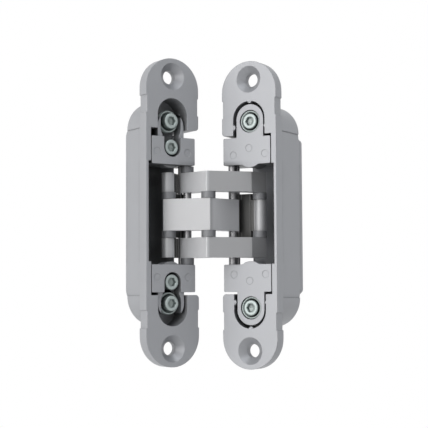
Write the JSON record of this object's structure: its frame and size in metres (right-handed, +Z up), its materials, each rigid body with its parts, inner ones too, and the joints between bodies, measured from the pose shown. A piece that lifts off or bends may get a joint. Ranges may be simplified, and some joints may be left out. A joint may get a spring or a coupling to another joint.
{
  "type": "concealed door hinge",
  "caption": "Concealed door hinge with two mortise housings, adjusting blocks and a crossed linkage of arms, links and pins, partly open.",
  "frame": {"origin": "midway between the two screw holes of the frame side, in the plane of the back of its face plate, which rests on the step of the mortise", "axes": "+Y from the frame side's face into the door frame, +Z up along the hinge pins, +X across the frame side's face towards the leaf side"},
  "size_m": [0.0625, 0.0437, 0.121],
  "materials": {
    "frame_cast": "satin",
    "leaf_cast": "satin",
    "arm_metal": "satin",
    "zinc": "bright zinc plate",
    "pin_steel": "ground",
    "ring_polymer": "matte"
  },
  "bodies": {
    "frame_side": {"frame_housing": "frame_cast", "height_screws": "zinc", "height_rings": "zinc"},
    "frame_carriage": {"frame_block_upper": "frame_cast", "frame_block_lower": "frame_cast", "frame_arm_pin": "pin_steel", "frame_link_pin": "pin_steel", "frame_arm_washers": "ring_polymer", "frame_arm_sleeve": "pin_steel", "side_screws": "zinc"},
    "outer_arms": {"outer_arm_upper": "arm_metal", "outer_arm_lower": "arm_metal", "centre_pin": "pin_steel", "centre_bushes": "ring_polymer", "outer_arm_end_pin": "pin_steel", "outer_arm_end_rings": "ring_polymer"},
    "middle_arm": {"middle_arm": "arm_metal", "middle_arm_end_pin": "pin_steel", "middle_arm_end_rings": "ring_polymer"},
    "frame_link": {"frame_link": "arm_metal"},
    "leaf_carriage": {"leaf_block_upper": "leaf_cast", "leaf_block_lower": "leaf_cast", "leaf_arm_pin": "pin_steel", "leaf_link_pin": "pin_steel", "leaf_arm_sleeves": "pin_steel", "depth_screws": "zinc", "depth_cups": "zinc"},
    "leaf_link": {"leaf_link": "arm_metal"},
    "leaf_side": {"leaf_housing": "leaf_cast"}
  },
  "joints": [
    {"name": "height_adjust", "type": "slide", "parent": "frame_side", "child": "frame_carriage", "axis": [0, 0, 1], "range_m": [-0.0008, 0.0029]},
    {"name": "frame_arm_pivot", "type": "hinge", "parent": "frame_carriage", "child": "outer_arms", "pos_m": [0.00969, -0.00042, -0.00105], "axis": [0, 0, 1], "range_deg": [-62, 35.4]},
    {"name": "centre_pivot", "type": "hinge", "parent": "outer_arms", "child": "middle_arm", "pos_m": [0.01196, -0.01191, -0.00105], "axis": [0, 0, 1], "range_deg": [-8.44, 14.77]},
    {"name": "leaf_arm_pivot", "type": "hinge", "parent": "middle_arm", "child": "leaf_carriage", "pos_m": [0.02473, -0.01019, -0.00105], "axis": [0, 0, 1], "range_deg": [-67.22, 38.38]},
    {"name": "frame_link_pivot", "type": "hinge", "parent": "frame_carriage", "child": "frame_link", "pos_m": [0.00891, 0.00345, -0.00105], "axis": [0, 0, 1], "range_deg": [-52.34, 29.89]},
    {"name": "leaf_link_pivot", "type": "hinge", "parent": "leaf_carriage", "child": "leaf_link", "pos_m": [0.02824, -0.00867, -0.00105], "axis": [0, 0, 1], "range_deg": [-29.68, 51.97]},
    {"name": "depth_adjust", "type": "slide", "parent": "leaf_carriage", "child": "leaf_side", "axis": [0.9092, 0.4163, 0], "range_m": [-0.0008, 0.0008]}
  ],
  "couplings": [
    {"joint": "centre_pivot", "follows": "frame_arm_pivot", "ratio": -0.238},
    {"joint": "leaf_arm_pivot", "follows": "frame_arm_pivot", "ratio": 1.084},
    {"joint": "frame_link_pivot", "follows": "frame_arm_pivot", "ratio": 0.844},
    {"joint": "leaf_link_pivot", "follows": "frame_arm_pivot", "ratio": -0.838}
  ]
}
